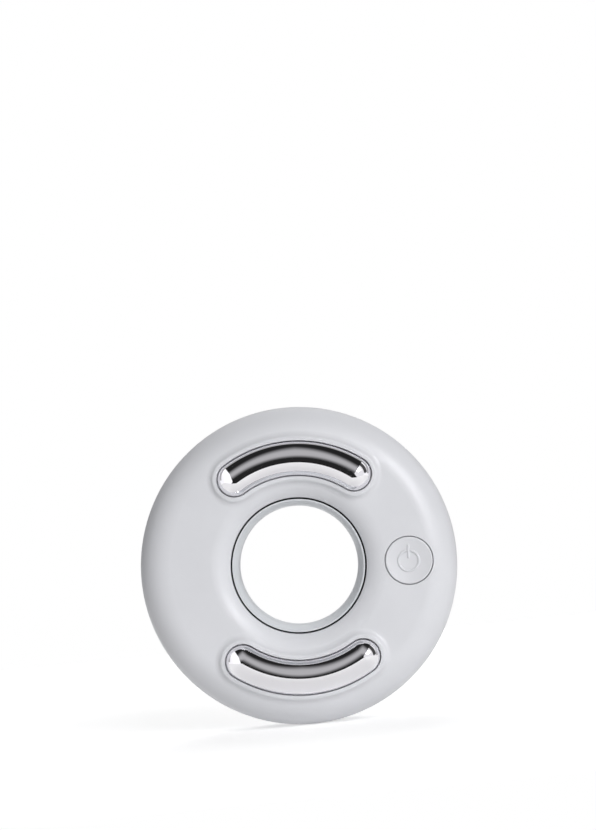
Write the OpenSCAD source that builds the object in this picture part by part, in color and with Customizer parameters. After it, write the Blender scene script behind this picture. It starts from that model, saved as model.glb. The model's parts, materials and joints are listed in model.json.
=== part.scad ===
// Ring-shaped facial toning device: two moulded housings round a finger hole, two arc-shaped
// electrodes on the front, a power button beside them and a charging port in the rim.
// The pieces are drawn lying on their back, with z = 0 at the parting line and the front up.
// stand() then sets the ring upright: front towards -Y, the button's side towards +X.

/* [Ring] */
// Outer diameter of the ring
ring_d = 90; // [86:0.5:98]
// Thickness between the front flat and the back flat
ring_t = 23; // [22:0.5:25]
// Width of the straight band round the rim
rim_land = 5; // [4:0.5:6]
// Radius at which the flats begin, on the side of the finger hole
flat_in_r = 25; // [24.6:0.1:26]
// Radius of the roll from a flat down to the finger hole
inner_roll = 8; // [7.6:0.1:9]
// Wall thickness of both housings
wall = 2; // [1.7:0.1:2.2]
// Thickness of the housings' walls round the finger hole
bore_wall = 1.6; // [1.2:0.1:2]
// Chamfer of both housings at the parting line
parting_chamfer = 0.22; // [0.1:0.02:0.35]

/* [Finger hole] */
// Diameter of the straight part of the finger hole
bore_d = 33.8; // [31:0.2:34.6]
// Length of the straight part of the finger hole
bore_land = 8; // [5:0.5:10]
// How far each mouth of the finger hole flares out
mouth_flare = 1.4; // [0.8:0.1:1.6]
// Thickness of the sleeve's lip at its mouths
lip_t = 0.4; // [0.35:0.05:0.6]
// Gap between the sleeve and the housings
sleeve_gap = 0.5; // [0.4:0.05:0.7]
// How far the sleeve's lip lies below the housing's edge
lip_drop = 0.2; // [0.1:0.05:0.5]
// Thickness of the sleeve's middle collar, which both housings clamp
collar_t = 1.2; // [1:0.1:1.6]

/* [Electrodes] */
// Width of an electrode
electrode_w = 9.6; // [9.2:0.1:10]
// Angle between the centres of an electrode's round ends
electrode_angle = 68; // [60:1:70]
// Height of an electrode's dome above its foot
dome_h = 3.2; // [2.6:0.1:3.6]
// Height of the dome's foot above the raised collar
dome_proud = 0.1; // [0.05:0.05:0.4]
// Depth of an electrode's straight edge, from the dome's foot down to its seal
electrode_edge_h = 1.6; // [1.4:0.1:1.8]
// Gap round an electrode in its pocket
pocket_gap = 0.2; // [0.15:0.05:0.3]
// How far the upper electrode's centre line lies inside the middle of the flat
electrode_shift = 0.4; // [0.3:0.1:0.8]
// How much further out than the upper electrode the lower one sits
lower_out = 1.1; // [0:0.1:1.4]
// Thickness of the seal under an electrode's edge
pocket_seal_t = 0.4; // [0.3:0.1:0.6]
// Thickness of an electrode's metal wall
electrode_wall = 1.3; // [1:0.1:1.5]
// Thickness of the clamp bar behind an electrode
clamp_t = 1.4; // [1.2:0.1:1.8]
// Angle of each clamp screw from the electrode's middle
clamp_screw_angle = 20; // [16:1:22]

/* [Raised collars] */
// Height of a raised collar above the front flat
collar_h = 1; // [0.7:0.05:1.3]
// Width of the level top round an electrode's pocket
crown_flat = 0.7; // [0.4:0.1:1]
// Radius of a collar's rounded crown
crown_r = 0.9; // [0.6:0.05:1]
// Radius of the hollow blend at a collar's foot
foot_r = 2.2; // [1.6:0.1:2.6]

/* [Button] */
// Diameter of the power button
button_d = 13.3; // [12:0.1:14]
// Gap between the button and its hole
button_gap = 0.2; // [0.15:0.05:0.3]
// How far the button's centre lies outside the middle of the flat
button_shift = 0.5; // [0:0.1:1]
// Travel of the button
button_travel = 0.4; // [0.3:0.05:0.5]
// Depth of the dished face of the button
dish_depth = 0.55; // [0.3:0.05:0.7]
// Width of the retaining flange round the foot of the button
button_flange = 0.95; // [0.8:0.05:1.2]

/* [Board] */
// Thickness of the main board
board_t = 1.2; // [1:0.1:1.6]
// Depth of the board's front face behind the parting line
board_drop = 1.2; // [1:0.1:1.6]
// Gap between the board and the tongue round it
board_gap = 0.4; // [0.3:0.05:0.6]
// Gap between the board and the walls round the finger hole
board_bore_gap = 1.5; // [1:0.1:2]

/* [Battery] */
// Length of the battery cell
cell_l = 28; // [24:0.5:29]
// Width of the battery cell
cell_w = 12; // [10:0.5:12.5]
// Thickness of the battery cell
cell_t = 5.7; // [5:0.1:5.8]
// Thickness of the foam pad behind the cell
pad_t = 0.9; // [0.7:0.1:1.1]

/* [Charging port] */
// Width of the charging socket's shell
socket_w = 8.94; // [8.8:0.02:9.2]
// Height of the charging socket's shell
socket_h = 3.26; // [3.1:0.02:3.4]
// Length of the charging socket
socket_l = 7.3; // [6.5:0.1:8]
// Width of the port plug's recess
plug_w = 11.4; // [11:0.1:12.5]
// Height of the port plug's recess
plug_h = 5; // [4.7:0.1:5.4]
// Depth of the port plug's recess
plug_t = 1.4; // [1.2:0.1:1.6]
// Gap round the port plug
plug_gap = 0.12; // [0.1:0.02:0.2]

/* [Fasteners] */
// Angle of the housing screws from the horizontal centre line
post_angle = 40; // [38:0.5:42]
// Radius of the bosses that carry the housing screws
post_r = 3.3; // [3:0.1:3.6]
// Radius of a housing screw's shank
post_screw_r = 1; // [0.9:0.05:1.15]
// Radius of a housing screw's head
post_head_r = 2; // [1.8:0.1:2.1]
// Radius of the wells in the back that the housing screws sit in
well_r = 2.4; // [2.3:0.05:2.6]
// Radius of a small screw's shank
small_screw_r = 0.8; // [0.7:0.05:0.9]
// Radius of a small screw's head
small_head_r = 1.6; // [1.4:0.05:1.8]
// Clearance round a screw's shank
screw_gap = 0.05; // [0.04:0.01:0.1]

/* [Hidden] */
$fn = 120;
eps = 0.05;
ring_r = ring_d / 2;
half_t = ring_t / 2;
outer_roll = half_t - rim_land / 2;
flat_out_r = ring_r - outer_roll;
track_r = (flat_in_r + flat_out_r) / 2;
inner_z = half_t - wall;

// Finger hole
bore_r = bore_d / 2;
mouth_r = bore_r + mouth_flare;
sleeve_r = mouth_r + lip_t;
edge_r = sleeve_r + sleeve_gap;
edge_z = half_t - inner_roll + sqrt(pow(inner_roll, 2) - pow(flat_in_r - edge_r, 2));
lip_z = edge_z - lip_drop;
flare_r = (pow(mouth_flare, 2) + pow(lip_z - bore_land / 2, 2)) / (2 * mouth_flare);
well_wall_r = edge_r + bore_wall;
clamp_gap = 0.05;
seal_cord_r = 0.38;
seal_groove = 0.35;
seal_depth = 2.3;
seal_z = lip_z - seal_depth;

// Joint between the housings
tongue_gap = 0.2;
tongue_t = 1.1;
tongue_h = 1.3;
tongue_foot = 3;
tongue_r = ring_r - wall - tongue_gap;
gasket_w = 0.7;
gasket_h = 0.75;
gasket_gap = 0.05;
gasket_r = ring_r - wall / 2 - gasket_w / 2;

// Electrodes
electrode_r = track_r - electrode_shift;
upper_place = [90, 0];
lower_place = [270, lower_out];
pocket_hw = electrode_w / 2 + pocket_gap;
collar_top = half_t + collar_h;
dome_foot_z = collar_top + dome_proud;
edge_foot_z = dome_foot_z - electrode_edge_h;
ledge_z = edge_foot_z - pocket_seal_t;
ledge_w = 1;
opening_hw = pocket_hw - ledge_w;
tail_hw = opening_hw - pocket_gap;
tail_drop_z = 0.2;
tail_z = inner_z + tail_drop_z;
edge_round = 0.12;
dome_hw = electrode_w / 2 - edge_round;
dome_r = (pow(dome_hw, 2) + pow(dome_h, 2)) / (2 * dome_h);
dome_z = dome_foot_z + dome_h - dome_r;
clamp_lap = 0.5;
clamp_hw = opening_hw + clamp_lap;
clamp_short_angle = 13;
clamp_angle = electrode_angle - clamp_short_angle;
clamp_bottom = inner_z - clamp_t;
clamp_head_h = 1.1;
core_gap = 0.04;
clamp_pilot_h = 3;
pilot_spare = 0.6;
tail_wall = 1;
hollow_hw = tail_hw - tail_wall;
hollow_top = dome_z + sqrt(pow(dome_r - electrode_wall, 2) - pow(hollow_hw, 2));
ridge_hw = 0.35;
foot_sink = 0.03;
skirt_w = 0.5;
skirt_slope = 60;
skirt_foot = 0.2;
slot_hw = pocket_hw + 1.4;
rim_h = 0.3;
rim_w = 1;
rim_gap = 0.2;
arc_steps = 16;
cap_steps = 12;
dome_steps = 10;
foot_steps = 5;
crown_steps = 4;

// Button
button_r = button_d / 2;
button_x = track_r + button_shift;
button_top = half_t - 0.05;
button_edge = 0.35;
button_cap_t = 1.3;
flange_gap = 0.1;
button_flange_t = 0.7;
button_flange_r = button_r + button_flange;
button_flange_z = inner_z - flange_gap - button_flange_t;
guide_gap = 0.3;
guide_r = button_flange_r + guide_gap;
guide_t = 1.4;
button_seal_t = 0.3;
button_seal_gap = 0.05;
button_seal_r = guide_r - button_seal_gap;
guide_z = button_flange_z - button_travel - flange_gap - button_seal_t;
stem_r = 2;
stem_gap = 0.4;
stem_reach = 0.9;
stem_z = guide_z - stem_reach;
plunger_r = 1.7;
plunger_gap = 0.15;
switch_w = 6.2;
switch_h = 3.6;
plunger_bury = 1.2;
switch_foot = [0.8, 1.2, 0.3];
switch_foot_x = 2.2;

// Board and what it carries
board_z = -board_drop;
board_back = board_z - board_t;
board_r = tongue_r - tongue_t - board_gap;
board_in_r = well_wall_r + board_bore_gap;
board_screw_angles = [22, 110, 180, 338];
board_screw_inset = 4.5;
board_screw_r = board_r - board_screw_inset;
board_boss_r = 2.4;
small_head_h = 1.2;
board_screw_l = 4.8;
board_pilot_l = 5.4;
can_gap = 0.6;

// Housing screws
post_angles = [post_angle, 180 - post_angle, 180 + post_angle, 360 - post_angle];
shoulder_r = post_r + 1;
post_hole_gap = 0.25;
post_pilot_h = 6.5;
post_screw_l = 9.5;
post_head_h = 1.6;
post_web = 2.2;
post_seat = -board_back + post_web;
plug_disc_t = 1.5;
plug_disc_gap = 0.05;

// Battery
cell_shift = 0.4;
cell_y = -(track_r + cell_shift);
cell_back = -inner_z + pad_t + 0.1;
pad_inset = 2;
cradle_gap = 0.3;
cradle_t = 1;
cradle_h = 3.2;
lead_r = 0.5;
lead_pitch = 2.2;
lead_l = 3.2;
plug_block = [4.5, 6, 3.2];
plug_block_x = cell_l / 2 + lead_l;
plug_block_y = cell_y + plug_block[1] / 2;

// Charging port
socket_setback = 0.4;
socket_face_r = ring_r - plug_t - socket_setback;
socket_z = board_back - socket_h / 2;
socket_wall = 0.3;
socket_gap = 0.3;
tail_drop = 1.2;
tail_l = 1;
nail_r = 1.4;

// Ribs inside the housings
rib_t = 1;
rib_angles = [20, 65, 115, 160, 180, 200, 340];
rib_reach = 4;

shell_colour = [0.83, 0.84, 0.85];
sleeve_colour = [0.8, 0.81, 0.83];
metal_colour = [0.78, 0.78, 0.8];
rubber_colour = [0.2, 0.2, 0.21];

// ---------- shared shapes ----------

// Sets what is drawn front side up on its rim, with the front towards -Y
module stand() {
    rotate([90, 0, 0]) children();
}

// Puts its children at each angle of a list, at one radius from the ring's axis
module at_each(angles, radius) {
    for (a = angles) rotate([0, 0, a]) translate([radius, 0, 0]) children();
}

// Moves what is drawn for an electrode on the +x side to its place, given as [angle, distance out]
module at_place(place) {
    rotate([0, 0, place[0]]) translate([place[1], 0, 0]) children();
}

// Half of the ring's section, from the parting line to a flat. inset moves its faces inwards
// and edge is the radius at which it ends beside the finger hole
module half_section(inset, edge) {
    roll_z = half_t - inner_roll;
    translate([flat_in_r, 0]) square([flat_out_r - flat_in_r, half_t - inset]);
    translate([flat_out_r, 0]) square([outer_roll - inset, rim_land / 2]);
    translate([flat_out_r, rim_land / 2]) intersection() {
        circle(outer_roll - inset);
        square(outer_roll);
    }
    translate([edge, 0]) square([flat_in_r - edge, roll_z]);
    intersection() {
        translate([flat_in_r, roll_z]) circle(inner_roll - inset);
        translate([edge, roll_z]) square([flat_in_r - edge, inner_roll]);
    }
}

// The outline of an arc-shaped slot with round ends, as points going anticlockwise
function slot_outline(hw, span) = concat(
    [for (i = [0 : arc_steps]) polar(electrode_r + hw, span * (i / arc_steps - 0.5))],
    [for (i = [1 : cap_steps - 1])
        polar(electrode_r, span / 2) + polar(hw, span / 2 + 180 * i / cap_steps)],
    [for (i = [0 : arc_steps]) polar(electrode_r - hw, span * (0.5 - i / arc_steps))],
    [for (i = [1 : cap_steps - 1])
        polar(electrode_r, -span / 2) + polar(hw, 180 - span / 2 + 180 * i / cap_steps)]
);

// A flat bar of that outline
module arc_bar(hw, span, height) {
    linear_extrude(height) polygon(slot_outline(hw, span));
}

// The faces between two slot outlines whose n points start at numbers a and b
function skin(n, a, b) = [
    for (k = [0 : n - 1], half = [0, 1])
        half == 0 ? [a + k, b + k, b + (k + 1) % n] : [a + k, b + (k + 1) % n, a + (k + 1) % n]
];

// The triangles that close a slot outline whose n points start at number a, in strips across
// it from the tip of one round end to the other
function lid(n, a) = let (tip = n - cap_steps / 2) [
    for (k = [0 : n / 2 - 2], t = [[k, k + 1, -k - 1], [k + 1, -k - 2, -k - 1]])
        [for (i = t) a + (tip + i + n) % n]
];

// A solid skinned over slot outlines, given from the bottom up as [half-width, height]
module arc_loft(levels, span) {
    n = 2 * (arc_steps + cap_steps);
    top = n * (len(levels) - 1);
    polyhedron(
        points = [for (l = levels, p = slot_outline(l[0], span)) [p[0], p[1], l[1]]],
        faces = concat(
            lid(n, 0),
            [for (b = [0 : n : top - n]) each skin(n, b, b + n)],
            [for (t = lid(n, top)) [t[2], t[1], t[0]]]
        )
    );
}

// A ring skinned over slot outlines, given as [half-width, height]: outside are those up its
// outside and over its crown, which follow the housing's surface, and inside those down its
// inside and back under it, which stay level. out is its distance out, as in at_place()
module arc_ring(outside, inside, span, out) {
    n = 2 * (arc_steps + cap_steps);
    count = len(outside) + len(inside);
    polyhedron(
        points = concat(
            [for (l = outside, p = slot_outline(l[0], span))
                [p[0], p[1], l[1] - fall(norm(p + [out, 0]))]],
            [for (l = inside, p = slot_outline(l[0], span)) [p[0], p[1], l[1]]]
        ),
        faces = [for (b = [0 : count - 1]) each skin(n, b * n, (b + 1) % count * n)]
    );
}

// How far the housing's surface lies below its flat at radius r
function fall(r) =
    r > flat_out_r ? outer_roll - sqrt(pow(outer_roll, 2) - pow(r - flat_out_r, 2))
    : r < flat_in_r ? inner_roll - sqrt(pow(inner_roll, 2) - pow(flat_in_r - r, 2))
    : 0;

function polar(r, a) = r * [cos(a), sin(a)];

// A flat bar with round ends, w by h, as a 2-D outline
module stadium(w, h) {
    square([w - h, h], center = true);
    for (s = [-1, 1]) translate([s * (w - h) / 2, 0]) circle(h / 2);
}

// The charging port's outline, driven outwards from radius r0 to r1
module port_bar(w, h, r0, r1) {
    translate([r0, 0, socket_z]) rotate([90, 0, 90]) linear_extrude(r1 - r0) stadium(w, h);
}

// A pan-head screw whose shank points up from z = 0, with a cross recess in its head
module screw(shank_r, shank_l, head_r, head_h) {
    difference() {
        union() {
            translate([0, 0, -head_h / 2]) cylinder(r = shank_r, h = shank_l + head_h / 2);
            translate([0, 0, -head_h]) cylinder(r = head_r, h = head_h);
        }
        for (a = [0, 90]) rotate([0, 0, a]) translate([0, 0, -head_h])
            cube([head_r * 1.2, head_r * 0.3, head_h], center = true);
    }
}

// ---------- housings ----------

// What both housings share: the shell, open at the parting line, and its radial ribs
module shell() {
    rotate_extrude() difference() {
        half_section(0, edge_r);
        half_section(wall, well_wall_r);
        translate([0, -1]) square([well_wall_r, 1 + collar_t / 2 + clamp_gap]);
        polygon([
            [ring_r - parting_chamfer, 0], [ring_r + eps, parting_chamfer + eps], [ring_r + eps, 0]
        ]);
    }
    for (a = rib_angles) rotate([90, 0, a]) linear_extrude(rib_t, center = true)
        intersection() {
            half_section(wall / 2, edge_r + bore_wall / 2);
            translate([edge_r, inner_z / 2]) square([rib_reach + bore_wall, half_t]);
        }
}

// The moulding round a pocket: outside, a level top and a rounded crown that run into the
// housing in a hollow foot; inside, the pocket with the ledge that the electrode's seal lies on,
// and a rim that stiffens the wall behind it
module collar(out) {
    crown = [pocket_hw + crown_flat, collar_top - crown_r];
    foot_z = half_t - foot_sink + foot_r;
    lean = asin((foot_z - crown[1]) / (crown_r + foot_r));
    foot = crown + (crown_r + foot_r) * [cos(lean), sin(lean)];
    outer = foot[0] + skirt_w;
    arc_ring(
        concat(
            [[outer, inner_z + skirt_foot], [outer, half_t - foot_sink - skirt_w * tan(skirt_slope)]],
            [for (i = [0 : foot_steps]) foot - polar(foot_r, 90 + (lean - 90) * i / foot_steps)],
            [for (i = [1 : crown_steps]) crown + polar(crown_r, lean + (90 - lean) * i / crown_steps)],
            [[pocket_hw, collar_top]]
        ),
        [
            [pocket_hw, ledge_z], [opening_hw, ledge_z], [opening_hw, inner_z],
            [clamp_hw + rim_gap, inner_z], [clamp_hw + rim_gap + rim_h, inner_z - rim_h],
            [slot_hw + rim_w, inner_z - rim_h]
        ],
        electrode_angle, out
    );
}

module front_housing() {
    stand() color(shell_colour) {
        difference() {
            union() {
                shell();
                at_each(post_angles, track_r) cylinder(r = post_r, h = half_t - wall / 2);
                translate([button_x, 0, guide_z])
                    cylinder(r = guide_r + guide_t, h = inner_z - guide_z + wall / 3);
            }
            for (p = [upper_place, lower_place]) at_place(p) translate([0, 0, inner_z - 1])
                arc_bar(slot_hw, electrode_angle, half_t);
            at_each(post_angles, track_r) translate([0, 0, -eps])
                cylinder(r = post_screw_r + screw_gap, h = post_pilot_h);
            translate([button_x, 0, 0]) {
                cylinder(r = button_r + button_gap, h = ring_t);
                translate([0, 0, guide_z - eps]) cylinder(r = guide_r, h = inner_z - guide_z + eps);
            }
        }
        for (p = [upper_place, lower_place]) at_place(p) collar(p[1]);
    }
}

module rear_housing() {
    stand() color(shell_colour) difference() {
        union() {
            mirror([0, 0, 1]) {
                shell();
                at_each(post_angles, track_r) {
                    cylinder(r = post_r, h = half_t - wall / 2);
                    translate([0, 0, -board_back])
                        cylinder(r = shoulder_r, h = inner_z + board_back + wall / 2);
                }
                at_each(board_screw_angles, board_screw_r) translate([0, 0, -board_back])
                    cylinder(r = board_boss_r, h = inner_z + board_back);
                rotate_extrude() {
                    translate([tongue_r - tongue_t, -tongue_h])
                        square([tongue_t, tongue_h + tongue_foot]);
                    translate([tongue_r - tongue_t, 0]) square([tongue_t + wall, tongue_foot]);
                }
            }
            cradle();
        }
        mirror([0, 0, 1]) {
            at_each(post_angles, track_r) {
                translate([0, 0, -eps]) cylinder(r = post_screw_r + 2 * screw_gap, h = half_t);
                translate([0, 0, post_seat]) cylinder(r = well_r, h = half_t);
            }
            at_each(board_screw_angles, board_screw_r) translate([0, 0, -board_back - eps])
                cylinder(r = small_screw_r + screw_gap, h = board_pilot_l);
            rotate_extrude() translate([gasket_r - gasket_gap, -eps])
                square([gasket_w + 2 * gasket_gap, gasket_h + gasket_gap + eps]);
        }
        port_bar(socket_w + 2 * socket_gap, socket_h + 2 * socket_gap, board_r - 2, ring_r);
        port_bar(plug_w, plug_h, ring_r - plug_t, ring_r + 1);
        translate([ring_r - 0.2, plug_w / 2, socket_z]) sphere(nail_r);
    }
}

// Low walls that hold the battery cell in place at both ends
module cradle() {
    foot = wall / 2;
    for (s = [-1, 1])
        translate([s * (cell_l / 2 + cradle_gap + cradle_t / 2), cell_y, (cradle_h - foot) / 2 - inner_z])
            cube([cradle_t, cell_w - 2 * pad_inset, cradle_h + foot], center = true);
}

// The gasket in the rear housing's edge
module housing_seal() {
    stand() color(rubber_colour) rotate_extrude() translate([gasket_r, -gasket_h])
        square([gasket_w, gasket_h]);
}

// ---------- finger hole ----------

// Half of the sleeve's section: a straight land that flares out to a thin lip
module sleeve_half() {
    translate([bore_r, 0]) square([sleeve_r - bore_r, bore_land / 2]);
    intersection() {
        translate([bore_r + flare_r, bore_land / 2]) circle(flare_r);
        translate([bore_r, bore_land / 2]) square([sleeve_r - bore_r, lip_z - bore_land / 2]);
    }
}

module bore_sleeve() {
    stand() color(sleeve_colour) rotate_extrude() difference() {
        union() {
            sleeve_half();
            mirror([0, 1]) sleeve_half();
            translate([sleeve_r - eps, -collar_t / 2])
                square([well_wall_r - sleeve_r, collar_t]);
        }
        for (s = [-1, 1]) translate([sleeve_r - seal_groove, s * seal_z - seal_cord_r - eps])
            square([1, 2 * (seal_cord_r + eps)]);
    }
}

// An O-ring between the sleeve and a housing
module bore_seal() {
    rotate_extrude() translate([edge_r - clamp_gap - seal_cord_r, 0]) circle(seal_cord_r);
}

module front_bore_seal() {
    stand() color(rubber_colour) translate([0, 0, seal_z]) bore_seal();
}

module rear_bore_seal() {
    stand() color(rubber_colour) translate([0, 0, -seal_z]) bore_seal();
}

// ---------- electrodes ----------

// An electrode's metal wall as one skin: down inside its hollow, out under the tail and its
// straight edge, up that edge and over the dome
module electrode(place) {
    hw = electrode_w / 2;
    foot_angle = acos(dome_hw / dome_r);
    ridge_angle = acos(ridge_hw / dome_r);
    at_place(place) arc_loft(concat(
        [[hollow_hw, hollow_top], [hollow_hw, tail_z], [tail_hw, tail_z], [tail_hw, edge_foot_z]],
        [[hw, edge_foot_z], [hw, dome_foot_z - edge_round]],
        [for (i = [0 : dome_steps]) let (a = foot_angle + (ridge_angle - foot_angle) * i / dome_steps)
            [dome_r * cos(a), dome_z + dome_r * sin(a)]]
    ), electrode_angle);
}

// The rubber ring under an electrode's edge
module electrode_seal(place) {
    at_place(place) translate([0, 0, ledge_z]) linear_extrude(pocket_seal_t) difference() {
        polygon(slot_outline(electrode_w / 2 - eps, electrode_angle));
        polygon(slot_outline(opening_hw + eps, electrode_angle));
    }
}

// The metal bar that fills an electrode's hollow and takes its clamp screws
module electrode_core(place) {
    at_place(place) translate([0, 0, tail_z]) difference() {
        arc_bar(hollow_hw - core_gap, electrode_angle, hollow_top - tail_z - core_gap);
        at_each([-clamp_screw_angle, clamp_screw_angle], electrode_r) translate([0, 0, -eps])
            cylinder(r = small_screw_r + screw_gap, h = clamp_pilot_h);
    }
}

// The bar behind an electrode that its screws pull against the housing
module electrode_clamp(place) {
    at_place(place) translate([0, 0, clamp_bottom]) difference() {
        arc_bar(clamp_hw, clamp_angle, clamp_t);
        at_each([-clamp_screw_angle, clamp_screw_angle], electrode_r) translate([0, 0, -eps])
            cylinder(r = small_screw_r + 2 * screw_gap, h = clamp_t + 2 * eps);
    }
}

module upper_electrode() {
    stand() color(metal_colour) electrode(upper_place);
}

module lower_electrode() {
    stand() color(metal_colour) electrode(lower_place);
}

module upper_electrode_core() {
    stand() color("goldenrod") electrode_core(upper_place);
}

module lower_electrode_core() {
    stand() color("goldenrod") electrode_core(lower_place);
}

module upper_electrode_seal() {
    stand() color(rubber_colour) electrode_seal(upper_place);
}

module lower_electrode_seal() {
    stand() color(rubber_colour) electrode_seal(lower_place);
}

module upper_electrode_clamp() {
    stand() color("gainsboro") electrode_clamp(upper_place);
}

module lower_electrode_clamp() {
    stand() color("gainsboro") electrode_clamp(lower_place);
}

module electrode_screws() {
    stand() color("silver") for (p = [upper_place, lower_place]) at_place(p)
        at_each([-clamp_screw_angle, clamp_screw_angle], electrode_r) translate([0, 0, clamp_bottom])
            screw(small_screw_r, clamp_t + clamp_pilot_h - pilot_spare, small_head_r, clamp_head_h);
}

// A bent strip from the board up to the head of one of an electrode's clamp screws
module contact_spring(place) {
    strip_t = 0.3;
    strip_w = 2.6;
    top = clamp_bottom - clamp_head_h;
    bend_r = (top - board_z) / 2;
    at_place(place) at_each([-clamp_screw_angle], electrode_r) rotate([90, 0, 90])
        translate([0, board_z, 0]) linear_extrude(strip_w, center = true) {
            difference() {
                translate([bend_r, bend_r]) circle(bend_r);
                translate([bend_r, bend_r]) circle(bend_r - strip_t);
                translate([bend_r, -1]) square(2 * bend_r + 2);
            }
            for (z = [0, 2 * bend_r - strip_t]) translate([bend_r - eps, z])
                square([1.5, strip_t]);
        }
}

module upper_contact_spring() {
    stand() color("goldenrod") contact_spring(upper_place);
}

module lower_contact_spring() {
    stand() color("goldenrod") contact_spring(lower_place);
}

// ---------- power button ----------

// The dished cap, its retaining flange and the stem that reaches the switch
module power_button() {
    dish_half = button_r - 2 * button_edge;
    dish_r = (pow(dish_half, 2) + pow(dish_depth, 2)) / (2 * dish_depth);
    cap_z = inner_z - flange_gap;
    hollow_z = button_top - dish_depth - button_cap_t;
    stand() color(shell_colour) translate([button_x, 0, 0]) rotate_extrude() difference() {
        union() {
            translate([0, cap_z - eps]) square([button_r, button_top - button_edge - cap_z + eps]);
            translate([0, cap_z]) square([button_r - button_edge, button_top - cap_z]);
            translate([button_r - button_edge, button_top - button_edge]) circle(button_edge);
            translate([0, button_flange_z]) square([button_flange_r, button_flange_t]);
            translate([0, stem_z]) square([stem_r, button_flange_z - stem_z + eps]);
        }
        translate([0, button_top - dish_depth + dish_r]) circle(dish_r);
        translate([stem_r + 1, stem_z]) square([button_r - stem_r - 2, hollow_z - stem_z]);
        translate([-ring_d, 0]) square(ring_d);
    }
}

// The soft washer that closes the end of the button's guide round the stem
module button_seal() {
    stand() color(rubber_colour) translate([button_x, 0, guide_z]) difference() {
        cylinder(r = button_seal_r, h = button_seal_t);
        translate([0, 0, -eps]) cylinder(r = stem_r + stem_gap, h = button_seal_t + 2 * eps);
    }
}

// The switch's own plunger, which the button's stem pushes
module switch_plunger() {
    bottom = board_z + switch_h - plunger_bury;
    stand() color("dimgray") translate([button_x, 0, bottom])
        cylinder(r = plunger_r, h = stem_z - bottom);
}

module tact_switch() {
    stand() color("darkgray") translate([button_x, 0, board_z]) difference() {
        union() {
            translate([-switch_w / 2, -switch_w / 2, 0]) cube([switch_w, switch_w, switch_h]);
            for (s = [-1, 1], t = [-1, 1])
                translate([s * switch_foot_x, t * switch_w / 2, switch_foot[2] / 2])
                    cube([switch_foot[0], 2 * switch_foot[1], switch_foot[2]], center = true);
        }
        translate([0, 0, switch_h - plunger_bury - 2 * button_travel])
            cylinder(r = plunger_r + plunger_gap, h = switch_h);
    }
}

// ---------- board ----------

module main_board() {
    stand() color("darkgreen") translate([0, 0, board_back]) difference() {
        cylinder(r = board_r, h = board_t);
        translate([0, 0, -eps]) {
            cylinder(r = board_in_r, h = board_t + 2 * eps);
            at_each(post_angles, track_r)
                cylinder(r = post_r + post_hole_gap, h = board_t + 2 * eps);
            at_each(board_screw_angles, board_screw_r)
                cylinder(r = small_screw_r + 2 * screw_gap, h = board_t + 2 * eps);
        }
    }
}

// Chips and small parts on the board's front face, as [angle, offset from the track, size]
module board_chips() {
    chips = [
        [55, -2.5, [4.2, 3, 1]], [90, 1, [6, 5, 1.4]], [122, 2, [3, 3, 0.8]],
        [158, 0.5, [5, 5, 0.9]], [200, 3, [3, 4.5, 1.3]], [206, -3.5, [3, 2, 0.9]],
        [235, 0, [4, 5, 1.2]], [275, -1, [4, 3, 1]], [343, -3, [2, 1.2, 0.7]]
    ];
    stand() color([0.12, 0.12, 0.13]) for (c = chips)
        at_each([c[0]], track_r + c[1]) translate([-c[2][0] / 2, -c[2][1] / 2, board_z]) cube(c[2]);
}

// A drum-core coil that makes the treatment voltage
module boost_inductor() {
    flange_h = 0.8;
    flange_r = 3.2;
    drum_h = 3.2;
    stand() color([0.25, 0.25, 0.27]) at_each([305], track_r + 3) translate([0, 0, board_z])
        rotate_extrude() {
            square([flange_r, flange_h]);
            square([0.75 * flange_r, drum_h]);
            translate([0, drum_h - flange_h]) square([flange_r, flange_h]);
        }
}

// The sounder that beeps to time the treatment
module sounder() {
    can_r = 4.5;
    can_h = 3;
    port_r = 0.8;
    middle_r = board_screw_r - small_head_r - can_r - can_gap;
    stand() color([0.15, 0.15, 0.16]) at_each([180], middle_r) translate([0, 0, board_z])
        difference() {
            cylinder(r = can_r, h = can_h);
            translate([0, 0, can_h - 1]) cylinder(r = port_r, h = 2);
        }
}

// ---------- charging port ----------

module usb_socket() {
    tongue = [5.5, 6.6, 0.7];
    stand() color("silver") {
        difference() {
            port_bar(socket_w, socket_h, socket_face_r - socket_l, socket_face_r);
            port_bar(socket_w - 2 * socket_wall, socket_h - 2 * socket_wall,
                socket_face_r - socket_l + 1, socket_face_r + eps);
        }
        translate([socket_face_r - socket_l + eps, -tongue[1] / 2, socket_z - tongue[2] / 2])
            cube([tongue[0], tongue[1], tongue[2]]);
    }
}

// The soft plug that closes the port flush with the rim
module port_plug() {
    cap_r = ring_r - plug_t;
    stand() color([0.78, 0.79, 0.8]) {
        intersection() {
            port_bar(plug_w - 2 * plug_gap, plug_h - 2 * plug_gap, cap_r, ring_r + 1);
            mirror([0, 0, 1]) rotate_extrude() half_section(0, edge_r);
        }
        port_bar(socket_w - tail_drop, socket_h - tail_drop, cap_r - tail_l, cap_r + eps);
    }
}

// ---------- battery ----------

module battery_cell() {
    edge = 1;
    stand() color([0.55, 0.58, 0.62]) translate([0, cell_y, cell_back]) linear_extrude(cell_t) {
        square([cell_l - 2 * edge, cell_w], center = true);
        square([cell_l, cell_w - 2 * edge], center = true);
        for (s = [-1, 1], t = [-1, 1])
            translate([s * (cell_l / 2 - edge), t * (cell_w / 2 - edge)]) circle(edge);
    }
}

module battery_pad() {
    size = [cell_l - 2 * pad_inset, cell_w - 2 * pad_inset];
    stand() color([0.3, 0.3, 0.31])
        translate([-size[0] / 2, cell_y - size[1] / 2, cell_back - pad_t])
            cube([size[0], size[1], pad_t]);
}

// The plug and header on the back of the board that the battery's leads go into
module battery_connector() {
    stand() color("ivory")
        translate([plug_block_x, cell_y, board_back - plug_block[2]])
            cube(plug_block);
}

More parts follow.
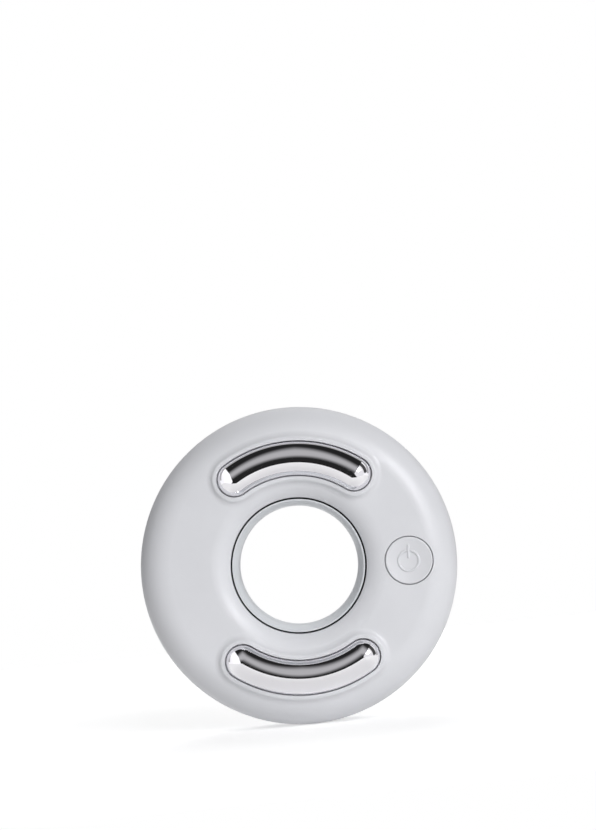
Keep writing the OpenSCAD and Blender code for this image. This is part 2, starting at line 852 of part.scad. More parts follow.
module battery_leads() {
    stand() color("firebrick") for (s = [-1, 1])
        translate([cell_l / 2, plug_block_y + s * lead_pitch / 2, board_back - plug_block[2] / 2])
            rotate([0, 90, 0]) cylinder(r = lead_r, h = lead_l);
}

// ---------- fasteners ----------

module board_screws() {
    stand() color("silver") at_each(board_screw_angles, board_screw_r) translate([0, 0, board_z])
        mirror([0, 0, 1]) screw(small_screw_r, board_screw_l, small_head_r, small_head_h);
}

module housing_screws() {
    stand() color("silver") at_each(post_angles, track_r) translate([0, 0, -post_seat])
        screw(post_screw_r, post_screw_l, post_head_r, post_head_h);
}

// Round caps that close the screw wells flush with the back
module screw_plugs() {
    stand() color(shell_colour) at_each(post_angles, track_r) translate([0, 0, -half_t])
        cylinder(r = well_r - plug_disc_gap, h = plug_disc_t);
}

front_housing();
rear_housing();
bore_sleeve();
front_bore_seal();
rear_bore_seal();
housing_seal();
upper_electrode();
lower_electrode();
upper_electrode_core();
lower_electrode_core();
upper_electrode_seal();
lower_electrode_seal();
upper_electrode_clamp();
lower_electrode_clamp();
electrode_screws();
upper_contact_spring();
lower_contact_spring();
power_button();
button_seal();
switch_plunger();
tact_switch();
main_board();
board_chips();
boost_inductor();
sounder();
usb_socket();
port_plug();
battery_cell();
battery_pad();
battery_connector();
battery_leads();
board_screws();
housing_screws();
screw_plugs();
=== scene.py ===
import json
import math

import bpy
import numpy as np
from mathutils import Matrix, Vector
from mathutils.geometry import delaunay_2d_cdt

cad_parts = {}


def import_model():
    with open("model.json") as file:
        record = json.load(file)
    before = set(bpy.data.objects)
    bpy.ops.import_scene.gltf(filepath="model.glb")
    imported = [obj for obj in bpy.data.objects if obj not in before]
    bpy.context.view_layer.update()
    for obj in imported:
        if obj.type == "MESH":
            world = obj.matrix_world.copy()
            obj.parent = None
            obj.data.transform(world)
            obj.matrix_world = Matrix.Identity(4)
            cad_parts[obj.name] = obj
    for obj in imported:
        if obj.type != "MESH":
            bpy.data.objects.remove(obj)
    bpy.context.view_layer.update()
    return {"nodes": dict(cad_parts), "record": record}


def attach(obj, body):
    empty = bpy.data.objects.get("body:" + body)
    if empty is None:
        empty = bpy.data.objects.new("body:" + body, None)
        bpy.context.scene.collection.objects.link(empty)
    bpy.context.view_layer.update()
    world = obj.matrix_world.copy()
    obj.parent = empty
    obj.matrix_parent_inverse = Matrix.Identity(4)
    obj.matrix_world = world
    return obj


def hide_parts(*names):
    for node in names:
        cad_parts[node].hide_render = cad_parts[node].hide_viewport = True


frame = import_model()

# Sizes in millimetres, in the part's own drawing frame: the ring lies on its back, with z = 0 at
# the parting line, the front up and the button on the +x side.
RING_R = 45.0
RIM_Z = 2.5  # where the outer roll starts
OUTER_ROLL, INNER_ROLL = 9.0, 8.0  # radii of the rolls at the rim and at the finger hole
FLAT_Z = 11.5
FLAT_IN, FLAT_OUT = 25.0, 36.0
EDGE_R = 19.2  # of the front housing's edge round the finger hole
EDGE_WALL_R, EDGE_WALL_Z = 20.8, 0.65  # the outside and the foot of the wall behind that edge
CHAMFER = 0.22
WALL = 2.0

SLOT_R = 30.1
SLOT_SPAN = 68.0
UPPER, LOWER = (90.0, 0.0), (270.0, 1.1)  # an electrode's angle, and how far out it is moved
PLACES = (UPPER, LOWER)
POCKET_HW = 5.0
POCKET_EDGE = 0.12
OPENING_HW = 4.0
LEDGE_Z = 10.6
COLLAR_H = 1.0
CROWN_FLAT, CROWN_R, FOOT_R = 0.7, 0.9, 2.2
COLLAR_REACH = 8.3  # from a slot's centre arc to just past its collar's foot

EDGE_HW = 4.8
TAIL_HW, TAIL_Z = 3.8, 9.7
EDGE_FOOT_Z, DOME_FOOT_Z = 11.0, 12.6
EDGE_ROUND = 0.12
DOME_HW, DOME_H = EDGE_HW - EDGE_ROUND, 3.2
DOME_R = (DOME_HW**2 + DOME_H**2) / (2 * DOME_H)
DOME_Z = DOME_FOOT_Z + DOME_H - DOME_R
RIDGE_HW = 0.35  # of the narrow flat along the dome's top

BUTTON_X, BUTTON_R = 31.0, 6.65
BUTTON_TOP, DISH_DEPTH, BUTTON_EDGE = 11.45, 0.55, 0.35
FLANGE_R, FLANGE_Z, FLANGE_TOP = 7.6, 8.7, 9.4
STEM_R, STEM_Z = 2.0, 7.0
HOLE_R = BUTTON_R + 0.2
HOLE_EDGE, HOLE_FOOT_Z = 0.12, 8.2
SIGN_R, SIGN_HW, SIGN_H = 2.85, 0.38, 0.32
SIGN_GAP = 17.0  # half the angle of the sign's opening
SIGN_BAR = (1.0, 4.25)
SIGN_SHIFT = 0.1


def to_row(points):
    """Drawing-frame millimetres to the row frame's metres: the ring stands up, front towards -Y."""
    p = np.asarray(points, float).reshape(-1, 3)
    return np.stack([p[:, 0], -p[:, 2], p[:, 1]], 1) * 0.001


# ---------- materials ----------

NOISE_LOW, NOISE_HIGH = 0.3, 0.7  # most of a noise lies between these


def principled(name, colour, rough, metallic=0.0):
    """A material of uniform values, with its node tree and its shader."""
    mat = bpy.data.materials.new(name)
    mat.use_nodes = True
    shader = mat.node_tree.nodes["Principled BSDF"]
    shader.inputs["Base Color"].default_value = (*colour, 1)
    shader.inputs["Roughness"].default_value = rough
    shader.inputs["Metallic"].default_value = metallic
    return mat, mat.node_tree, shader


def noise(tree, scale, detail=3.0):
    """Object-space noise; scale is in features a metre."""
    coords = tree.nodes.new("ShaderNodeTexCoord")
    tex = tree.nodes.new("ShaderNodeTexNoise")
    tex.inputs["Scale"].default_value = scale
    tex.inputs["Detail"].default_value = detail
    tree.links.new(coords.outputs["Object"], tex.inputs["Vector"])
    return tex.outputs["Fac"]


def bump(tree, shader, height, strength, distance):
    node = tree.nodes.new("ShaderNodeBump")
    node.inputs["Strength"].default_value = strength
    node.inputs["Distance"].default_value = distance
    tree.links.new(height, node.inputs["Height"])
    tree.links.new(node.outputs["Normal"], shader.inputs["Normal"])


def vary_rough(tree, shader, fac, low, high):
    node = tree.nodes.new("ShaderNodeMapRange")
    node.inputs["From Min"].default_value = NOISE_LOW
    node.inputs["From Max"].default_value = NOISE_HIGH
    node.inputs["To Min"].default_value = low
    node.inputs["To Max"].default_value = high
    tree.links.new(fac, node.inputs["Value"])
    tree.links.new(node.outputs["Result"], shader.inputs["Roughness"])


def vary_colour(tree, shader, fac, dark, light):
    ramp = tree.nodes.new("ShaderNodeValToRGB")
    stops = ramp.color_ramp.elements
    for stop, position, colour in zip(stops, (NOISE_LOW, NOISE_HIGH), (dark, light)):
        stop.position = position
        stop.color = (*colour, 1)
    tree.links.new(fac, ramp.inputs["Fac"])
    tree.links.new(ramp.outputs["Color"], shader.inputs["Base Color"])


def satin(name, colour, rough):
    """Satin moulded plastic: a fine spark-eroded grain, and a faint drift in gloss and tone."""
    mat, tree, shader = principled(name, colour, rough)
    bump(tree, shader, noise(tree, 5200, 2.0), strength=0.25, distance=0.000012)
    drift = noise(tree, 90, 2.0)
    vary_rough(tree, shader, drift, rough - 0.02, rough + 0.03)
    vary_colour(tree, shader, drift, [c * 0.985 for c in colour], [c * 1.012 for c in colour])
    return mat


def plain(name, colour, rough, metallic=0.0, grain=3000, depth=0.00001):
    """A finish of one colour, with a fine grain that also varies its gloss."""
    mat, tree, shader = principled(name, colour, rough, metallic)
    fine = noise(tree, grain)
    bump(tree, shader, fine, strength=0.3, distance=depth)
    vary_rough(tree, shader, fine, rough - 0.06, rough + 0.06)
    return mat


def chrome(name):
    """Polished chrome plate with faint, wide polishing waves."""
    mat, tree, shader = principled(name, (0.89, 0.88, 0.905), 0.035, 1.0)
    bump(tree, shader, noise(tree, 260, 1.0), strength=0.05, distance=0.00004)
    vary_rough(tree, shader, noise(tree, 900, 3.0), 0.03, 0.06)
    return mat


SHELL = (0.653, 0.659, 0.688)
MATERIALS = {
    "shell": satin("shell_plastic", SHELL, 0.36),
    "button": satin("button_plastic", SHELL, 0.3),
    "sleeve": satin("sleeve_plastic", (0.62, 0.64, 0.665), 0.3),
    "chrome": chrome("chrome_plate"),
    "seal": plain("black_silicone", (0.02, 0.021, 0.023), 0.55),
    "plug": plain("soft_silicone", (0.6, 0.62, 0.645), 0.6, grain=2600, depth=0.00002),
    "clamp": plain("natural_nylon", (0.55, 0.54, 0.5), 0.5),
    "screw": plain("zinc_plate", (0.6, 0.6, 0.63), 0.3, 1.0),
    "contact": plain("gold_flash", (0.83, 0.6, 0.24), 0.22, 1.0),
    "dark_plastic": plain("black_plastic", (0.025, 0.025, 0.028), 0.42),
    "ferrite": plain("ferrite_grey", (0.07, 0.07, 0.075), 0.5, grain=5200, depth=0.00003),
    "board": plain("green_mask", (0.012, 0.13, 0.05), 0.3, grain=1500),
    "port_shell": plain("nickel_shell", (0.62, 0.6, 0.57), 0.25, 1.0),
    "cell": plain("foil_pouch", (0.5, 0.53, 0.57), 0.35, 0.6, grain=700, depth=0.00006),
    "foam": plain("grey_foam", (0.07, 0.07, 0.075), 0.9, grain=2200, depth=0.00012),
    "connector": plain("ivory_nylon", (0.72, 0.68, 0.56), 0.45),
    "leads": plain("red_wire", (0.42, 0.02, 0.02), 0.4),
}
SLOTS = {s["node"]: s["material_slot"] for s in frame["record"]["subparts"]}
for node, part in frame["nodes"].items():
    part.data.materials.clear()
    part.data.materials.append(MATERIALS[SLOTS[node]])

# ---------- mesh helpers ----------


def add_object(name, data):
    obj = bpy.data.objects.new(name, data)
    bpy.context.scene.collection.objects.link(obj)
    return obj


def piece(name, points, faces, normals, slot, body, *replaced):
    """A smooth mesh from drawing-frame points and normals, riding on a body in place of nodes."""
    mesh = bpy.data.meshes.new(name)
    mesh.from_pydata(to_row(points).tolist(), [], faces)
    mesh.polygons.foreach_set("use_smooth", [True] * len(mesh.polygons))
    n = np.asarray(normals, float)
    n = n / np.maximum(np.linalg.norm(n, axis=1), 1e-9)[:, None]
    mesh.normals_split_custom_set_from_vertices(np.stack([n[:, 0], -n[:, 2], n[:, 1]], 1).tolist())
    mesh.materials.append(MATERIALS[slot])
    obj = add_object(name, mesh)
    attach(obj, body)
    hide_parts(*replaced)


class Patches:
    """Collects surface patches, each with its own vertices and normals, into one piece."""

    def __init__(self):
        self.points, self.normals, self.faces, self.count = [], [], [], 0

    def add(self, points, normals, faces):
        self.points.append(points)
        self.normals.append(normals)
        self.faces += [[i + self.count for i in f] for f in faces]
        self.count += len(points)

    def grid(self, points, normals):
        """points and normals are (rows, columns, 3); columns go round, anticlockwise from above,
        and rows go from the low or outer side up and inwards."""
        rows, cols = points.shape[:2]
        faces = []
        for i in range(rows - 1):
            for j in range(cols):
                k = (j + 1) % cols
                faces.append([i * cols + j, i * cols + k, (i + 1) * cols + k, (i + 1) * cols + j])
        self.add(points.reshape(-1, 3), normals.reshape(-1, 3), faces)

    def revolve(self, profile, normals, count, centre=(0.0, 0.0)):
        """profile is a list of (r, z) and normals of (nr, nz), seen from outside."""
        t = np.linspace(0, 2 * math.pi, count, endpoint=False)
        c, s = np.cos(t), np.sin(t)
        level = np.ones(count)
        p, n = np.array(profile, float), np.array(normals, float)
        points = np.stack([centre[0] + np.outer(p[:, 0], c), centre[1] + np.outer(p[:, 0], s),
                           np.outer(p[:, 1], level)], 2)
        norms = np.stack([np.outer(n[:, 0], c), np.outer(n[:, 0], s), np.outer(n[:, 1], level)], 2)
        self.grid(points, norms)

    def piece(self, name, slot, body, *replaced):
        points, normals = np.vstack(self.points), np.vstack(self.normals)
        piece(name, points, self.faces, normals, slot, body, *replaced)


def slot_path(span, steps, cap_steps):
    """The slot outline as centres and outward directions, anticlockwise: a point at half-width hw
    is centre + hw * direction."""
    half = math.radians(span / 2)
    centres, outs = [], []
    for side in (1, -1):  # the outer side and the end after it, then the inner side and its end
        end = side * half
        angles = [(a, a) for a in np.linspace(-end, end, steps, endpoint=False)]
        angles += [(end, end + b) for b in np.linspace(0, math.pi, cap_steps, endpoint=False)]
        for at, out in angles:
            centres.append((SLOT_R * math.cos(at), SLOT_R * math.sin(at)))
            outs.append((side * math.cos(out), side * math.sin(out)))
    return np.array(centres), np.array(outs)


def at_level(xy, z):
    """Plan points or directions with the same third number."""
    return np.column_stack([xy, np.full(len(xy), z)])


def turn(xy, degrees):
    """Anticlockwise round the ring's centre."""
    a = math.radians(degrees)
    return xy @ np.array([[math.cos(a), math.sin(a)], [-math.sin(a), math.cos(a)]])


def to_place(xy, place):
    """From a slot that lies on the +x side to its place on the ring."""
    return turn(xy + [place[1], 0], place[0])


def slot_distance(xy, place):
    """Distance of points from the centre arc of the slot at that place."""
    p = turn(xy, -place[0]) - [place[1], 0]
    half = math.radians(SLOT_SPAN / 2)
    phi = np.arctan2(p[:, 1], p[:, 0])
    on_arc = np.abs(np.hypot(p[:, 0], p[:, 1]) - SLOT_R)
    end_x, end_y = SLOT_R * math.cos(half), np.sign(phi) * SLOT_R * math.sin(half)
    to_end = np.hypot(p[:, 0] - end_x, p[:, 1] - end_y)
    return np.where(np.abs(phi) <= half, on_arc, to_end)


# ---------- front shell ----------

RING_STEPS, HOLE_STEPS = 360, 150  # points round the ring, and round the button's hole
SLOT_STEPS = (110, 44)  # points along each side of a slot, and round each end


def collar_profile(d):
    """Height of a collar above the shell at distance d from the slot's centre arc."""
    crown_d, crown_z = POCKET_HW + CROWN_FLAT, COLLAR_H - CROWN_R
    lean = math.asin((FOOT_R - crown_z) / (CROWN_R + FOOT_R))
    foot_d = crown_d + (CROWN_R + FOOT_R) * math.cos(lean)
    tangent = crown_d + CROWN_R * math.cos(lean)
    crown = crown_z + np.sqrt(np.maximum(CROWN_R**2 - np.maximum(d - crown_d, 0) ** 2, 0))
    foot = FOOT_R - np.sqrt(np.maximum(FOOT_R**2 - (foot_d - d) ** 2, 0))
    into_edge = np.clip(POCKET_HW + POCKET_EDGE - d, 0, POCKET_EDGE)
    edge = POCKET_EDGE - np.sqrt(POCKET_EDGE**2 - into_edge**2)
    return np.where(d <= tangent, crown, np.where(d < foot_d, foot, 0.0)) - edge


def shell_height(xy):
    """The front face without its holes: inner roll, flat, outer roll and the two collars."""
    r = np.hypot(xy[:, 0], xy[:, 1])
    inner = FLAT_Z - INNER_ROLL + np.sqrt(np.maximum(INNER_ROLL**2 - (FLAT_IN - r) ** 2, 0))
    outer = RIM_Z + np.sqrt(np.maximum(OUTER_ROLL**2 - (r - FLAT_OUT) ** 2, 0))
    base = np.where(r < FLAT_IN, inner, np.where(r > FLAT_OUT, outer, FLAT_Z))
    return base + sum(collar_profile(slot_distance(xy, p)) for p in PLACES)


def shell_normals(xy):
    """From central differences of the height, and exact on the outer roll away from the collars."""
    e = 0.004
    gx = (shell_height(xy + [e, 0]) - shell_height(xy - [e, 0])) / (2 * e)
    gy = (shell_height(xy + [0, e]) - shell_height(xy - [0, e])) / (2 * e)
    n = np.stack([-gx, -gy, np.ones(len(xy))], 1)
    r = np.hypot(xy[:, 0], xy[:, 1])
    steep = r > FLAT_OUT + 4
    s = np.clip((r[steep] - FLAT_OUT) / OUTER_ROLL, 0, 1)
    u = xy[steep] / r[steep][:, None]
    n[steep] = np.column_stack([u * s[:, None], np.sqrt(1 - s**2)])
    return n


def circle(radius, count, centre=(0.0, 0.0)):
    t = np.linspace(0, 2 * math.pi, count, endpoint=False)
    return np.stack([centre[0] + radius * np.cos(t), centre[1] + radius * np.sin(t)], 1)


def hole_distance(xy):
    """Distance of points from the button's centre."""
    return np.hypot(xy[:, 0] - BUTTON_X, xy[:, 1])


def front_plan():
    """The front face seen from above: its points, and the triangles between them."""
    coords, edges = [], []

    def add(points, boundary):
        start = len(coords)
        coords.extend(points.tolist())
        if boundary:
            edges.extend((start + i, start + (i + 1) % len(points)) for i in range(len(points)))

    # rings of points on the inner roll, the flat and the outer roll
    edge_turn = math.asin((FLAT_IN - EDGE_R) / INNER_ROLL)
    start_turn = math.radians(3)
    radii = list(FLAT_IN - INNER_ROLL * np.sin(np.linspace(edge_turn, start_turn, 15)))
    radii += list(np.linspace(FLAT_IN, FLAT_OUT, 9))
    radii += list(FLAT_OUT + OUTER_ROLL * np.sin(np.linspace(start_turn, math.pi / 2, 30)))
    add(circle(radii[0], RING_STEPS), True)
    for r in radii[1:-1]:
        points = circle(r, RING_STEPS)
        keep = hole_distance(points) > HOLE_R + 0.8
        for place in PLACES:
            keep &= slot_distance(points, place) > COLLAR_REACH
        add(points[keep], False)
    add(circle(radii[-1], RING_STEPS), True)
    # lines along the collars, closer together on the pocket's rounded edge
    centres, outs = slot_path(SLOT_SPAN, *SLOT_STEPS)
    lines = [POCKET_HW, POCKET_HW + 0.02, POCKET_HW + 0.06, POCKET_HW + POCKET_EDGE]
    lines += list(np.arange(POCKET_HW + 0.3, COLLAR_REACH - 0.1, 0.12))
    for place in PLACES:
        for d in lines:
            points = to_place(centres + d * outs, place)
            folded = slot_distance(points, place) < d - 0.01
            add(points[~folded], d == POCKET_HW)
    for d in (0, 0.03, 0.07, HOLE_EDGE, 0.5):
        add(circle(HOLE_R + d, HOLE_STEPS, (BUTTON_X, 0)), d == 0)

    out = delaunay_2d_cdt([Vector(c) for c in coords], edges, [], 0, 1e-7)
    xy = np.array([tuple(v) for v in out[0]])
    tris = np.array([f for f in out[2] if len(f) == 3])
    # the triangles inside the finger hole, the button's hole and the pockets go
    mid = xy[tris].mean(1)
    keep = np.hypot(mid[:, 0], mid[:, 1]) > EDGE_R * math.cos(math.pi / RING_STEPS) - 1e-6
    keep &= hole_distance(mid) > HOLE_R
    for place in PLACES:
        keep &= slot_distance(mid, place) > POCKET_HW
    tris = tris[keep]
    area = np.cross(xy[tris[:, 1]] - xy[tris[:, 0]], xy[tris[:, 2]] - xy[tris[:, 0]])
    tris[area < 0] = tris[area < 0][:, ::-1]
    return xy, tris


def front_face():
    """Points, normals and triangles of the front face, with the button hole's softened edge."""
    xy, tris = front_plan()
    z, n = shell_height(xy), shell_normals(xy)
    from_hole = hole_distance(xy) - HOLE_R
    soft = from_hole < HOLE_EDGE
    t = np.clip(1 - from_hole[soft] / HOLE_EDGE, 0, 1)
    z[soft] -= HOLE_EDGE * (1 - np.sqrt(1 - t**2))
    u = (xy[soft] - [BUTTON_X, 0]) / hole_distance(xy[soft])[:, None]
    n[soft] = np.column_stack([-u * t[:, None], np.sqrt(1 - t**2) + 1e-3])
    return np.column_stack([xy, z]), n, tris.tolist()


def front_shell():
    """The front face, the rim and the walls that show at its edges."""
    p = Patches()
    p.add(*front_face())
    # the rim, down to the parting line, and the shell's thickness behind it
    chamfer_r, inner_r = RING_R - CHAMFER, RING_R - WALL
    edge_z = float(shell_height(np.array([[EDGE_R, 0.0]]))[0])
    for low, high, normal in (
        ((RING_R, CHAMFER), (RING_R, RIM_Z), (1, 0)),
        ((chamfer_r, 0), (RING_R, CHAMFER), (1, -1)),
        ((inner_r, 0), (chamfer_r, 0), (0, -1)),
        # the wall beside the finger hole, from its top down
        ((EDGE_R, edge_z), (EDGE_R, EDGE_WALL_Z), (-1, 0)),
        ((EDGE_R, EDGE_WALL_Z), (EDGE_WALL_R, EDGE_WALL_Z), (0, -1)),
    ):
        p.revolve([low, high], [normal] * 2, RING_STEPS)
    # pocket walls and the ledges that the seals lie on
    centres, outs = slot_path(SLOT_SPAN, *SLOT_STEPS)
    pocket_top = FLAT_Z + COLLAR_H - POCKET_EDGE
    for place in PLACES:
        c, o = to_place(centres, place), turn(outs, place[0])
        for (d0, z0), (d1, z1), nd, nz in (
            ((POCKET_HW, pocket_top), (POCKET_HW, LEDGE_Z), -1, 0),
            ((POCKET_HW, LEDGE_Z), (OPENING_HW, LEDGE_Z), 0, 1),
        ):
            rows = [at_level(c + d * o, z) for d, z in ((d0, z0), (d1, z1))]
            p.grid(np.array(rows), np.array([at_level(nd * o, nz)] * 2))
    # the button's hole
    hole_top = FLAT_Z - HOLE_EDGE
    p.revolve([(HOLE_R, hole_top), (HOLE_R, HOLE_FOOT_Z)], [(-1, 0)] * 2, HOLE_STEPS, (BUTTON_X, 0))
    p.piece("front_shell", "shell", "body", "front_housing")


# ---------- electrodes ----------


def electrode_shell(name, node, place):
    """One skin: up the tail, out under the edge, up it and over the dome. A level is a half-width,
    a height and the normal's outward and upward parts."""
    levels = [(TAIL_HW, TAIL_Z, 0, -1), (TAIL_HW, TAIL_Z, 1, 0), (TAIL_HW, EDGE_FOOT_Z, 1, 0),
              (TAIL_HW, EDGE_FOOT_Z, 0, -1), (EDGE_HW, EDGE_FOOT_Z, 0, -1),
              (EDGE_HW, EDGE_FOOT_Z, 1, 0), (EDGE_HW, DOME_FOOT_Z - EDGE_ROUND, 1, 0)]
    foot = math.acos(DOME_HW / DOME_R)
    for t in np.linspace(foot, math.acos(RIDGE_HW / DOME_R), 48):
        c, s = math.cos(t), math.sin(t)
        levels.append((DOME_R * c, DOME_Z + DOME_R * s, c, s))
    levels.append((0, levels[-1][1], 0, 1))
    points, normals = [], []
    centres, outs = slot_path(SLOT_SPAN, 96, 48)
    c, o = to_place(centres, place), turn(outs, place[0])
    for d, z, nd, nz in levels:
        points.append(at_level(c + d * o, z))
        normals.append(at_level(nd * o, nz))
    p = Patches()
    p.grid(np.array(points), np.array(normals))
    p.piece(name, "chrome", "body", node)


# ---------- power button ----------


def sign_height(x, y):
    """Height of the raised power sign: an open ring and a short bar, both rounded on top."""
    px, py = x + SIGN_SHIFT, y + SIGN_SHIFT
    gap = math.radians(SIGN_GAP)
    on_ring = np.abs(np.hypot(px, py) - SIGN_R)
    to_end = np.hypot(np.abs(px) - SIGN_R * math.sin(gap), py - SIGN_R * math.cos(gap))
    from_ring = np.where(np.abs(np.arctan2(px, py)) >= gap, on_ring, to_end)
    from_bar = np.hypot(px, py - np.clip(py, *SIGN_BAR))
    t = np.clip(1 - np.minimum(from_ring, from_bar) / SIGN_HW, 0, 1)
    return SIGN_H * (1 - (1 - t) ** 2) ** 0.75


DISH_HALF = BUTTON_R - 2 * BUTTON_EDGE
DISH_R = (DISH_HALF**2 + DISH_DEPTH**2) / (2 * DISH_DEPTH)


def dish_height(x, y):
    """Height of the button's face, from its own centre."""
    dish = DISH_R - np.sqrt(DISH_R**2 - x**2 - y**2)
    return BUTTON_TOP - DISH_DEPTH + dish + sign_height(x, y)


def button_cap():
    """The button's dished face with its raised sign, its rounded edge, and its flange and stem."""
    rows, cols = 96, 300
    r = np.linspace(DISH_HALF, 0.0, rows)
    t = np.linspace(0, 2 * math.pi, cols, endpoint=False)
    x, y = np.outer(r, np.cos(t)), np.outer(r, np.sin(t))
    e = 0.02
    n = np.stack([(dish_height(x - e, y) - dish_height(x + e, y)) / (2 * e),
                  (dish_height(x, y - e) - dish_height(x, y + e)) / (2 * e), np.ones_like(x)], 2)
    p = Patches()
    p.grid(np.stack([x + BUTTON_X, y, dish_height(x, y)], 2), n)
    tilt = math.asin(DISH_HALF / DISH_R)
    round_r, round_z = BUTTON_R - BUTTON_EDGE, BUTTON_TOP - BUTTON_EDGE
    edge, edge_normals = [(BUTTON_R, round_z)], [(1, 0)]
    for a in np.linspace(0, math.pi / 2 + tilt, 14):
        c, s = math.cos(a), math.sin(a)
        edge.append((round_r + BUTTON_EDGE * c, round_z + BUTTON_EDGE * s))
        edge_normals.append((c, s))
    edge.append((DISH_HALF, BUTTON_TOP))
    edge_normals.append((-math.sin(tilt), math.cos(tilt)))
    p.revolve(edge, edge_normals, cols, (BUTTON_X, 0))
    for low, high, normal in (
        ((BUTTON_R, FLANGE_TOP), (BUTTON_R, round_z), (1, 0)),
        ((FLANGE_R, FLANGE_TOP), (BUTTON_R, FLANGE_TOP), (0, 1)),
        ((FLANGE_R, FLANGE_Z), (FLANGE_R, FLANGE_TOP), (1, 0)),
        ((STEM_R, FLANGE_Z), (FLANGE_R, FLANGE_Z), (0, -1)),
        ((STEM_R, STEM_Z), (STEM_R, FLANGE_Z), (1, 0)),
        ((0.0, STEM_Z), (STEM_R, STEM_Z), (0, -1)),
    ):
        p.revolve([low, high], [normal] * 2, 120, (BUTTON_X, 0))
    p.piece("button_cap", "button", "button", "power_button")


front_shell()
electrode_shell("upper_dome", "upper_electrode", UPPER)
electrode_shell("lower_dome", "lower_electrode", LOWER)
button_cap()

# ---------- camera ----------

CAMERA_PLACE = (0.007836, -0.6, 0.013192)
YAW, PITCH, ROLL = (math.radians(a) for a in (-0.577, 2.825, -2.808))
FOCAL_PX = 2095.24
IMAGE_HEIGHT = 830
SENSOR = 36.0


def camera():
    """The photograph's camera, fitted to the ring's outlines."""
    ahead = Vector((math.sin(YAW) * math.cos(PITCH), math.cos(YAW) * math.cos(PITCH),
                    math.sin(PITCH)))
    level = ahead.cross(Vector((0, 0, 1))).normalized()
    steep = level.cross(ahead)
    right = level * math.cos(ROLL) + steep * math.sin(ROLL)
    up = steep * math.cos(ROLL) - level * math.sin(ROLL)
    data = bpy.data.cameras.new("camera")
    data.sensor_width = SENSOR
    data.lens = FOCAL_PX * SENSOR / IMAGE_HEIGHT
    data.clip_start, data.clip_end = 0.01, 20
    cam = add_object("camera", data)
    turned = Matrix((right, up, -ahead)).transposed().to_4x4()
    cam.matrix_world = Matrix.Translation(CAMERA_PLACE) @ turned
    bpy.context.scene.camera = cam


camera()

# ---------- floor, world and lamps ----------

class Nodes:
    """Short names for a node tree's sums. An argument is a number or another node's output."""

    def __init__(self, tree):
        self.new, self.link = tree.nodes.new, tree.links.new

    def plug(self, socket, value):
        if isinstance(value, (int, float)):
            socket.default_value = value
        else:
            self.link(value, socket)

    def calc(self, operation, a, b=None):
        node = self.new("ShaderNodeMath")
        node.operation = operation
        self.plug(node.inputs[0], a)
        if b is not None:
            self.plug(node.inputs[1], b)
        return node.outputs[0]

    def ramp(self, value, low, high, a=0.0, b=1.0):
        """From a at the low limit to b at the high one, smoothly, and level beyond them."""
        node = self.new("ShaderNodeMapRange")
        node.interpolation_type = "SMOOTHSTEP"
        self.plug(node.inputs["Value"], value)
        for key, v in (("From Min", low), ("From Max", high), ("To Min", a), ("To Max", b)):
            node.inputs[key].default_value = v
        return node.outputs["Result"]

    def between(self, value, low, high, soft):
        """1 between two limits, whose edges are soft over that width."""
        above = self.ramp(self.calc("SUBTRACT", value, low), -soft / 2, soft / 2)
        below = self.ramp(self.calc("SUBTRACT", value, high), -soft / 2, soft / 2, 1, 0)
        return self.calc("MULTIPLY", above, below)

    def blend(self, factor, a, b):
        node = self.new("ShaderNodeMix")
        node.data_type = "FLOAT"
        self.plug(node.inputs["Factor"], factor)
        self.plug(node.inputs[2], a)
        self.plug(node.inputs[3], b)
        return node.outputs[0]


# The floor's own light: to all rays, and what the shiny surfaces and the camera see besides
FLOOR_GLOW = 0.2
FLOOR_GLOW_MORE = (("Is Glossy Ray", 0.13), ("Is Camera Ray", 0.29))


def floor():
    """A white table under the ring, level in the camera's view, tangent to the rim."""
    half_x, front, back = 0.32, -0.16, 0.4
    up = Vector((math.sin(ROLL), 0, math.cos(ROLL)))
    side = Vector((up.z, 0, -up.x))
    foot = -up * (RING_R * 0.001)
    corners = [foot + side * x + Vector((0, y, 0)) for x, y in
               ((-half_x, front), (half_x, front), (half_x, back), (-half_x, back))]
    mesh = bpy.data.meshes.new("floor")
    mesh.from_pydata([tuple(c) for c in corners], [], [[0, 1, 2, 3]])
    mat, tree, shader = principled("white_floor", (0.7, 0.7, 0.7), 0.6)
    shader.inputs["Emission Color"].default_value = (1, 1, 1, 1)
    n = Nodes(tree)
    path = n.new("ShaderNodeLightPath")
    glow = FLOOR_GLOW
    for ray, more in FLOOR_GLOW_MORE:
        glow = n.calc("ADD", glow, n.calc("MULTIPLY", path.outputs[ray], more))
    n.link(glow, shader.inputs["Emission Strength"])
    mesh.materials.append(mat)
    obj = add_object("floor", mesh)


# How bright the studio's parts are to the shiny surfaces
WALL_LEFT, WALL_BEHIND, WALL_OVERHEAD = 1.2, 0.5, 0.45
FLAG, PANEL, WINDOW, BANK = 0.07, 14, 0.018, 0.48


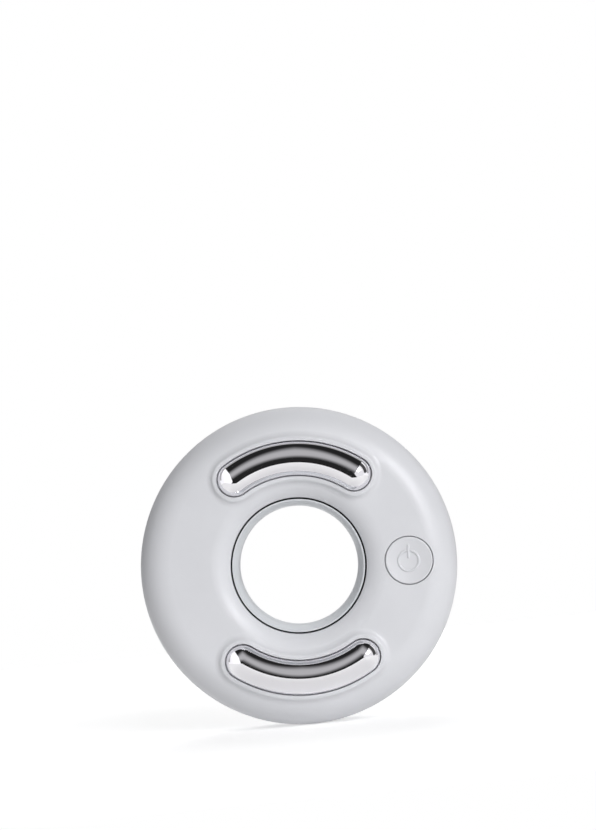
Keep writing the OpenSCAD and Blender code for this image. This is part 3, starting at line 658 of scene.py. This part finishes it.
def studio(n, x, y, z):
    """The light that shiny surfaces see in a direction: bright walls, dimmer behind; a dark window
    in front that reaches overhead and holds a grey bank; a bright panel on its upper right; and a
    dark flag beside it. Angles are in degrees."""
    degrees = 180 / math.pi
    ahead = n.calc("MULTIPLY", y, -1)
    sideways = n.calc("MULTIPLY", n.calc("ARCSINE", x), degrees)
    over = n.calc("MULTIPLY", n.calc("ARCTAN2", z, ahead), degrees)  # 0 in front, 90 overhead
    from_front = n.calc("MULTIPLY", n.calc("ARCCOSINE", ahead), degrees)
    round_front = n.calc("MULTIPLY", n.calc("ARCTAN2", z, x), degrees)  # 0 right, 90 up

    wall = n.ramp(from_front, 60, 68, 0.9, 1.1)
    wall = n.blend(n.between(sideways, -68, -5, 5), wall, WALL_LEFT)
    wall = n.blend(n.ramp(from_front, 98, 114), wall, WALL_BEHIND)
    wall = n.blend(n.ramp(over, 102, 112), wall, WALL_OVERHEAD)

    flag = n.calc("MULTIPLY", n.between(from_front, 66, 92, 4), n.between(sideways, 17, 84, 6))
    flag = n.calc("MULTIPLY", flag, n.ramp(z, -0.05, 0.1))
    panel = n.calc("MULTIPLY", n.between(from_front, 27, 50, 6), n.between(round_front, 26, 46, 4))
    level = n.blend(panel, n.blend(flag, wall, FLAG), PANEL)

    # the window widens upwards and downwards, so that it fills the electrodes' fanned reflections
    fan = n.calc("MULTIPLY", n.calc("ABSOLUTE", z), 0.69)
    right_edge = n.calc("ADD", fan, 0.02)
    left_edge = n.calc("ADD", n.calc("MULTIPLY", z, 0.3), 0.26)
    left_edge = n.calc("MAXIMUM", n.calc("MULTIPLY", fan, 1.1), left_edge)
    across = n.between(x, n.calc("MULTIPLY", left_edge, -1), right_edge, 0.04)
    window = n.calc("MULTIPLY", across, n.between(over, -60, 108, 7))
    drop = n.calc("ADD", over, n.calc("MULTIPLY", n.calc("ABSOLUTE", sideways), 0.8))
    bank = n.calc("MULTIPLY", n.ramp(over, 0, 26), n.ramp(drop, 45, 87, 1, 0))
    return n.blend(window, level, n.blend(bank, WINDOW, BANK))


def soft_glow(n, x, y):
    """The light that matt surfaces get: brightest in front and on the right, some from behind."""
    front = n.calc("ADD", n.calc("MULTIPLY", y, -0.52), n.calc("MULTIPLY", x, 0.16))
    return n.calc("MAXIMUM", front, n.calc("MULTIPLY", y, 0.5))


def world():
    """White to the camera, a studio to the shiny surfaces and a soft glow to the rest."""
    scene = bpy.context.scene
    scene.world = bpy.data.worlds.new("studio")
    scene.world.use_nodes = True
    tree = scene.world.node_tree
    tree.nodes.clear()
    n = Nodes(tree)
    coords = n.new("ShaderNodeTexCoord")
    split = n.new("ShaderNodeSeparateXYZ")
    n.link(coords.outputs["Generated"], split.inputs[0])
    x, y, z = split.outputs

    def background(colour, strength):
        node = n.new("ShaderNodeBackground")
        node.inputs["Color"].default_value = (*colour, 1)
        n.plug(node.inputs["Strength"], strength)
        return node.outputs[0]

    def choose(ray, otherwise, then):
        node = n.new("ShaderNodeMixShader")
        n.link(path.outputs[ray], node.inputs["Fac"])
        n.link(otherwise, node.inputs[1])
        n.link(then, node.inputs[2])
        return node.outputs[0]

    path = n.new("ShaderNodeLightPath")
    matt = background((1, 1, 1), soft_glow(n, x, y))
    shiny = background((0.985, 0.98, 1.0), studio(n, x, y, z))
    seen = choose("Is Glossy Ray", matt, shiny)
    seen = choose("Is Camera Ray", seen, background((1, 1, 1), 1.0))
    out = n.new("ShaderNodeOutputWorld")
    n.link(seen, out.inputs["Surface"])


def softbox(name, place, side, power):
    """A square soft lamp aimed at the ring, which the shiny surfaces don't show."""
    data = bpy.data.lights.new(name, "AREA")
    data.shape = "RECTANGLE"
    data.size = data.size_y = side
    data.energy = power
    obj = add_object(name, data)
    obj.location = place
    obj.rotation_mode = "QUATERNION"
    obj.rotation_quaternion = (-Vector(place)).to_track_quat("-Z", "Y")
    obj.visible_glossy = False


floor()
world()
softbox("key", (0.5, -0.93, 0.54), 0.9, 11.0)
softbox("back", (-0.1, 0.68, 0.78), 0.9, 6.0)

bpy.context.scene.view_settings.view_transform = "Standard"
